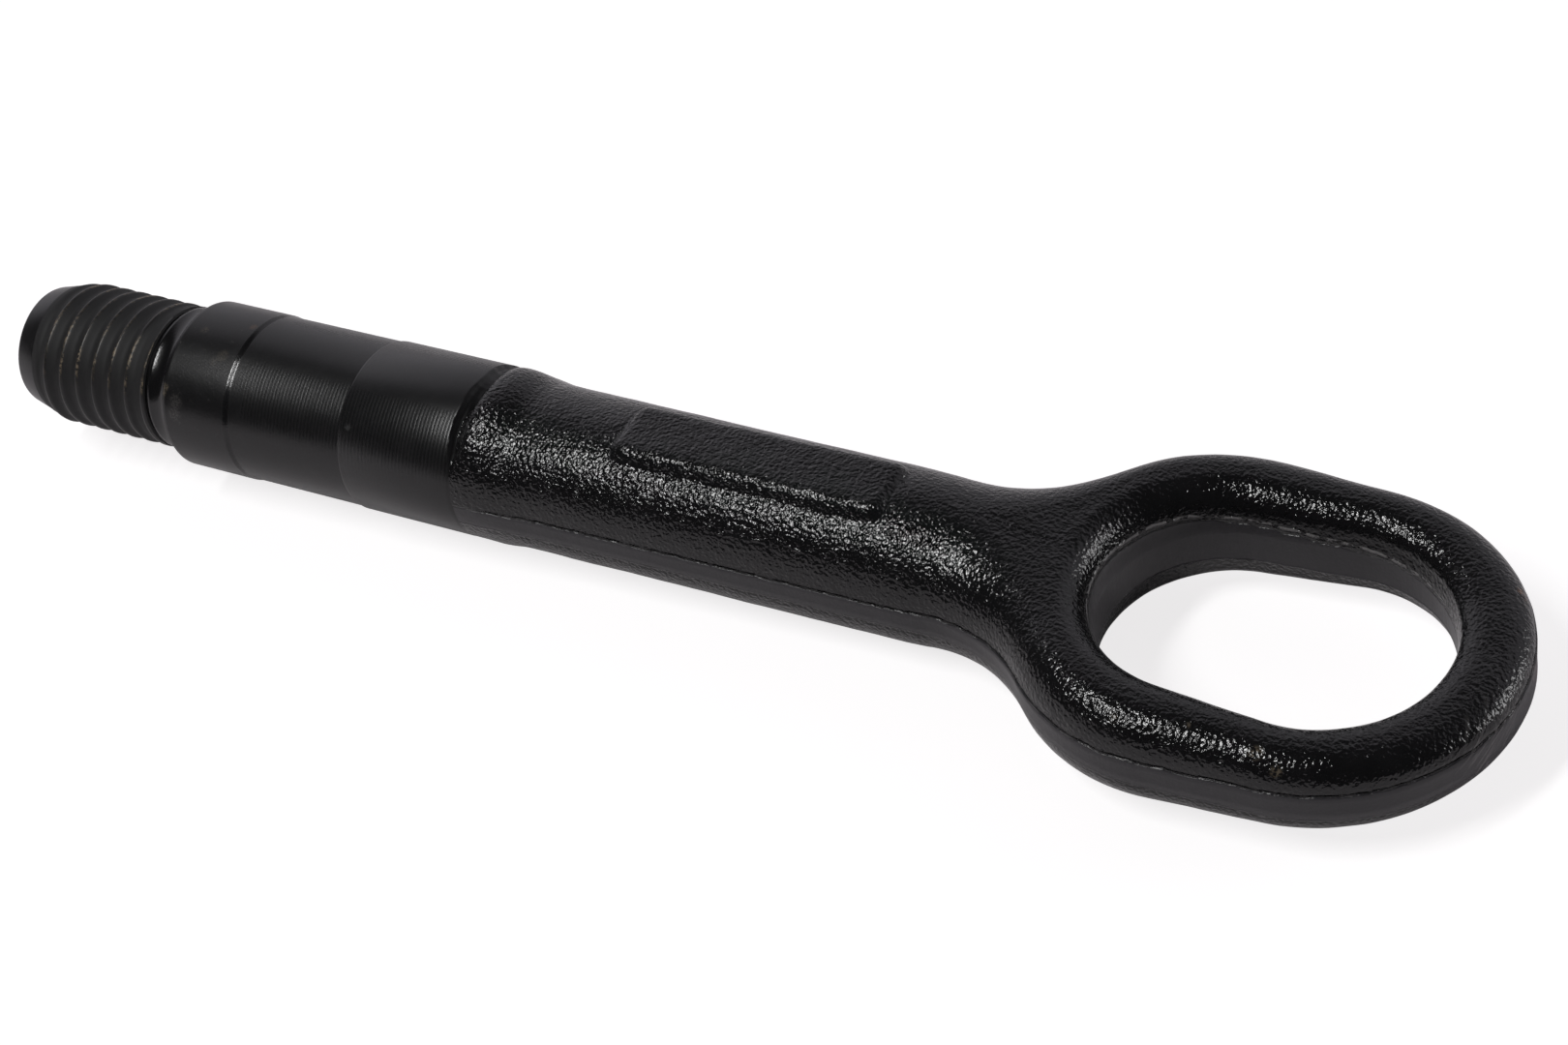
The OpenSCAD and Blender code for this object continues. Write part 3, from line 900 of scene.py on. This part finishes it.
def turned_finish():
    """Black coat over a turned surface, with the fine lines of the tool."""
    f = Finish("turned_coat")
    drift = f.noise(0.25)
    lines = f.lines(TOOL_LINE_PITCH, drift * 3.0)
    fine = f.lines(FINE_LINE_PITCH, drift * 6.0)
    # the lines show behind the front land, most on the rear land, and on the side below the top
    to_the_rear = f.x.ramp(FRONT_LAND_END, FRONT_LAND_END + 4.1) * 0.7 + f.x.ramp(20.0, 30.0) * 0.3
    on_the_side = (f.z.ramp(2.0, 5.0) * 0.9 + 0.1) * f.z.ramp(9.55, 8.9)
    where = to_the_rear * on_the_side
    neck = f.x.ramp(0.0, -0.5) * f.x.ramp(THREAD_END_X - 0.3, THREAD_END_X + 0.1)
    first_step = (f.x.ramp(FRONT_LAND_END - 0.15, FRONT_LAND_END + 0.05)
                  * f.x.ramp(FRONT_LAND_END + 0.70, FRONT_LAND_END + 0.45))
    polished = neck + first_step
    patchy = f.noise(0.5, 3.0, at=f.point(f.x * 2.0, f.y * 0.5, f.z * 0.5)).ramp(0.25, 0.75) * 0.6 + 0.4

    normal = f.bump(f.noise(4.0, 3.0), COAT_GRAIN_DEPTH)
    normal = f.bump(fine * (1 - polished), FINE_LINE_DEPTH, normal)
    normal = f.bump(lines * where * patchy * (1 - polished), TOOL_LINE_DEPTH, normal)

    front = f.x.ramp(10.0, 7.0) * f.x.ramp(-1.5, 0.5)
    specks = f.noise(1.6, 4.0, roughness=0.75).ramp(0.62, 0.72) * front
    smears = f.noise(0.4).ramp(0.5, 0.75)
    colour = f.colour(smears * 0.6, BLACK, DULL_BLACK)
    colour = f.colour(specks * 0.35, colour, DUST)
    colour = f.wear(colour, TURNED_WEAR, 0.5, f.noise(5.0, 3.0).ramp(0.35, 0.62))
    colour = f.colour(f.scratch(SCRATCH_START, SCRATCH_END, SCRATCH_W) * 0.8, colour, SCRATCH_BLACK)

    dull = f.noise(0.8, 3.0) * 0.04 + 0.28 + (lines - 0.5) * where * 0.10 + specks * 0.1
    return f.done(colour, dull * (1 - polished) + polished * 0.17, normal)


def thread_finish():
    """The same coat, worn through to a dull brass tone on the crests, kept to the lit side as a painted
    highlight.
    """
    f = Finish("thread_coat")
    radius = (f.y * f.y + f.z * f.z) ** 0.5
    crests = (radius + f.noise(3.0) * 0.10).ramp(thread_crest_r - 0.04, thread_crest_r + 0.05)
    speckle = f.noise(2.6, 3.0, roughness=0.7).ramp(0.42, 0.58)
    broken = f.noise(0.45).ramp(0.42, 0.56) * 0.85 + 0.15
    # the brass shows only on a band of heights on the upper side, where the lamp's highlight falls: worn
    # crests, partly a painted highlight
    lit_side = f.z.ramp(3.0, 5.5) * f.z.ramp(9.0, 7.4) * 0.94 + 0.04
    worn = crests * speckle * broken * lit_side
    colour = f.colour(worn * 0.9, BLACK, BRASS)
    normal = f.bump(f.noise(5.0, 3.0), THREAD_GRAIN_DEPTH)
    smoother = radius.ramp(thread_crest_r - 0.12, thread_crest_r - 0.04) * 0.28
    roughness = worn * 0.05 + 0.64 + f.noise(0.9) * 0.06 - smoother
    return f.done(colour, roughness, normal)


def forged_finish():
    """Black coat over a blasted forging: pebbled skin, smoother trimmed bands, rubbed far end, painted shade
    and highlights at the bands' edges.
    """
    f = Finish("forged_coat")
    drop = f.x.ramp(drop_start_x, drop_end_x)
    along = ((f.x - (hole_x + hole_end_x) / 2).abs() - HOLE_SPAN / 2).at_least(0.0)
    # distance from the line between the two centres of the opening
    from_hole = (along * along + f.y * f.y) ** 0.5
    inside = from_hole.ramp(HOLE_BAND_REACH + 0.4, HOLE_BAND_REACH)
    wander = (f.noise(0.45, 3.0, at=f.point(f.x, f.y, 0.0)) - 0.5) * 0.8

    # the trimmed band; the crack along its top, darkened with painted shade; the lip along its foot,
    # lightened with a painted highlight; and a painted highlight along the rim in the opening
    edge_z = (f.x - HOLE_EDGE_X) * HOLE_EDGE_SLOPE + HOLE_EDGE_Z
    top = (drop * (EYE_BAND_TOP - BAND_TOP) + BAND_TOP) * (1 - inside) + inside * (edge_z - 0.45)
    low = (drop * (EYE_BAND_LOW - BAND_LOW) + BAND_LOW) * (1 - inside) + inside * HOLE_BAND_LOW
    above = f.z - top + 0.12 + wander
    below = f.z + low + wander * 0.4
    band = above.ramp(0.08, -0.08) * below.ramp(-0.10, 0.10)
    crack_and_shade = above.abs().ramp(0.20, 0.04) * f.noise(0.8).ramp(0.28, 0.45)
    lip_and_highlight = below.abs().ramp(0.18, 0.03) * f.noise(0.5).ramp(0.30, 0.50)
    # where the painted highlight runs along the rim in the opening
    on_rim_highlight = from_hole.ramp(HOLE_RIM_HIGHLIGHT_REACH + 0.6, HOLE_RIM_HIGHLIGHT_REACH)
    rim = (f.z - edge_z + wander).abs().ramp(0.26, 0.05) * on_rim_highlight
    rim = rim * f.noise(0.9).ramp(0.40, 0.50)

    lumps = f.noise(2.5, 1.0, roughness=0.4, distortion=0.3)
    pebbles = lumps * 0.75 + f.cells(2.15, 0.7) * 0.35 + f.noise(7.0) * 0.07
    skin = pebbles * (1 - band * 0.90) * (1 - drop * 0.18)
    shear = f.noise(3.0, 3.0, at=f.point(f.x, f.y, f.z * 0.15))
    across = f.vector("DOT_PRODUCT", f.place, RUB_ACROSS, "Value")
    streak = f.vector("DOT_PRODUCT", f.place, RUB_WAY, "Value")
    rub_line = f.noise(1.0, at=f.point(across * 3.2, streak * 0.22, f.x * 0.3))
    rubbed = f.spot(RUB_PLACE, RUB_SIZE, 0.6) * f.noise(0.35, 1.0).ramp(0.25, 0.5) * f.x.ramp(155.5, 158.5)
    height = skin * (1 - rubbed * 0.55) + shear * band * 0.10 + rub_line * rubbed * 0.30
    normal = f.bump(height - crack_and_shade * 0.6 + lip_and_highlight * 0.3 + rim * 0.5, SKIN_DEPTH)

    colour = f.colour(f.noise(0.25).ramp(0.4, 0.7) * 0.5, BLACK, DULL_BLACK)
    colour = f.colour(band * 0.8, colour, BAND_GREY)
    # painted highlight along the lip at the band's foot
    colour = f.colour(lip_and_highlight * 0.6, colour, LIP_HIGHLIGHT_GREY)
    # painted highlight along the rim in the opening
    colour = f.colour(rim * 0.75, colour, RIM_HIGHLIGHT_GREY)
    # painted shade in the crack along the band's top
    colour = f.colour(crack_and_shade * (0.85 - drop * 0.35), colour, CRACK_SHADE_BLACK)
    colour = f.colour(rubbed * rub_line.ramp(0.54, 0.64) * 0.6, colour, RUBBED_GREY)
    colour = f.wear(colour, FORGED_WEAR, 0.6, f.noise(3.0, 3.0).ramp(0.42, 0.58))

    roughness = f.noise(1.2, 3.0) * 0.05 + 0.10 + band * 0.22 + rubbed * 0.05
    return f.done(colour, roughness, normal)


# Table, lamps, world and camera, in metres

BALANCE_X = 0.067
SLOPE_STEP = 0.0002
SLOPE_COUNT = 400
FLOOR_HALF_W = 4.0
PART_MIDDLE = (0.075, 0.0, 0.0)

TABLE_COLOUR = (0.84, 0.80, 0.82)
TABLE_COLOUR_SEEN = (0.42, 0.42, 0.42)
TABLE_GLOW = (1.0, 0.985, 0.99)
GLOW_SEEN = 0.80
GLOW_MIRRORED = 0.05
WALL_COLOUR = (1.01, 0.98, 1.05)
WALL_LEVEL = 0.57
WALL_SHADE = 0.19
ROOM_LEVEL = 0.045
WHITE = (1.0, 1.0, 1.0)

CAMERA_PLACE = (0.228251, -0.199975, 0.228693)
CAMERA_RIGHT = (0.871318, 0.460655, -0.169122)
CAMERA_DOWN = (0.211342, -0.663307, -0.717885)
CAMERA_LENS_MM = 71.405
CAMERA_SENSOR_W_MM = 36.0
CAMERA_CLIP_START = 0.01


def table_line(pieces):
    """The table as (start, slope). It touches the lying part on both sides of its balance."""
    low = {}
    for piece in pieces:
        for v in piece.data.vertices:
            key = round(v.co.x, 4)
            low[key] = min(low.get(key, v.co.z), v.co.z)
    lines = []
    for n in range(-SLOPE_COUNT, SLOPE_COUNT + 1):
        slope = n * SLOPE_STEP
        start = min(z - slope * x for x, z in low.items())
        lines.append((start + slope * BALANCE_X, start, slope))
    return max(lines, key=lambda line: line[0])[1:]


def table_finish():
    """White paper that the camera sees as white and that keeps the part's shadow."""
    material = bpy.data.materials.new("white_table")
    tree = empty_tree(material)
    seen = add_node(tree, "ShaderNodeLightPath", out="Is Camera Ray")
    mirrored = add_node(tree, "ShaderNodeLightPath", out="Is Glossy Ray")
    paper = add_node(tree, "ShaderNodeBsdfDiffuse", None,
                     {"Color": mixed_colour(tree, seen, TABLE_COLOUR, TABLE_COLOUR_SEEN)})
    glow = add_node(tree, "ShaderNodeEmission", None,
                    {"Color": TABLE_GLOW, "Strength": seen * GLOW_SEEN + mirrored * GLOW_MIRRORED})
    both = add_node(tree, "ShaderNodeAddShader", None, {0: paper, 1: glow})
    add_node(tree, "ShaderNodeOutputMaterial", None, {"Surface": both})
    return material


def make_floor(start, slope):
    bm = bmesh.new()
    bmesh.ops.create_grid(bm, x_segments=2, y_segments=2, size=FLOOR_HALF_W)
    for v in bm.verts:
        v.co.z = start + slope * v.co.x
    mesh_object("floor", bm, table_finish())


def make_lamp(name, way, distance, size, power):
    """A soft box that stands in one direction from the middle of the part and faces it.

    size is its width along the part and its length across the part."""
    way = Vector(way).normalized()
    along = (Vector((1, 0, 0)) - way * way.x).normalized()
    turn = Matrix((along, way.cross(along), way)).transposed().to_4x4()
    data = bpy.data.lights.new(name, "AREA")
    data.shape = "RECTANGLE"
    data.size, data.size_y = size
    data.energy = power
    lamp = link_object(name, data)
    lamp.matrix_world = Matrix.Translation(Vector(PART_MIDDLE) + way * distance) @ turn


def make_world():
    """A dim studio with a pale wall behind the part, and a white background for the camera."""
    world = bpy.data.worlds.new("studio")
    bpy.context.scene.world = world
    tree = empty_tree(world)
    x, y, z = split(tree, add_node(tree, "ShaderNodeTexCoord", out="Generated"))
    # the wall stands on the far side, fades out overhead and is brighter towards the thread
    wall = (y - z * 0.25).ramp(-0.02, 0.25) * z.ramp(0.88, 0.62)
    level = wall * (WALL_LEVEL - x.ramp(-0.68, -0.42) * WALL_SHADE) + ROOM_LEVEL
    seen = add_node(tree, "ShaderNodeLightPath", out="Is Camera Ray")
    tone = mixed_colour(tree, seen, WALL_COLOUR, WHITE)
    light = add_node(tree, "ShaderNodeBackground", None, {"Color": tone, "Strength": level.at_least(seen)})
    add_node(tree, "ShaderNodeOutputWorld", None, {"Surface": light})


def make_camera():
    """The camera of the photograph, solved from the outline and the turned rings."""
    data = bpy.data.cameras.new("camera")
    data.sensor_fit = "HORIZONTAL"
    data.sensor_width = CAMERA_SENSOR_W_MM
    data.lens = CAMERA_LENS_MM
    data.clip_start = CAMERA_CLIP_START
    right = Vector(CAMERA_RIGHT)
    down = Vector(CAMERA_DOWN)
    turn = Matrix((right, -down, -right.cross(down))).transposed().to_4x4()
    camera = link_object("camera", data)
    camera.matrix_world = Matrix.Translation(Vector(CAMERA_PLACE)) @ turn
    bpy.context.scene.camera = camera


# The part and its stage

turned_body = make_turned_body(turned_finish())
thread = make_thread(thread_finish())
forging = make_forging(forged_finish())
for piece in (turned_body, thread, forging):
    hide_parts("tow_eye")

make_floor(*table_line([turned_body, forging]))
make_world()
make_lamp("key_box", way=(-0.335, -0.39, 0.84), distance=0.9, size=(0.11, 0.44), power=4.2)
make_lamp("rear_box", way=(0.84, 0.45, 0.22), distance=1.0, size=(0.40, 0.30), power=2.0)
make_camera()
bpy.context.scene.view_settings.view_transform = "Standard"
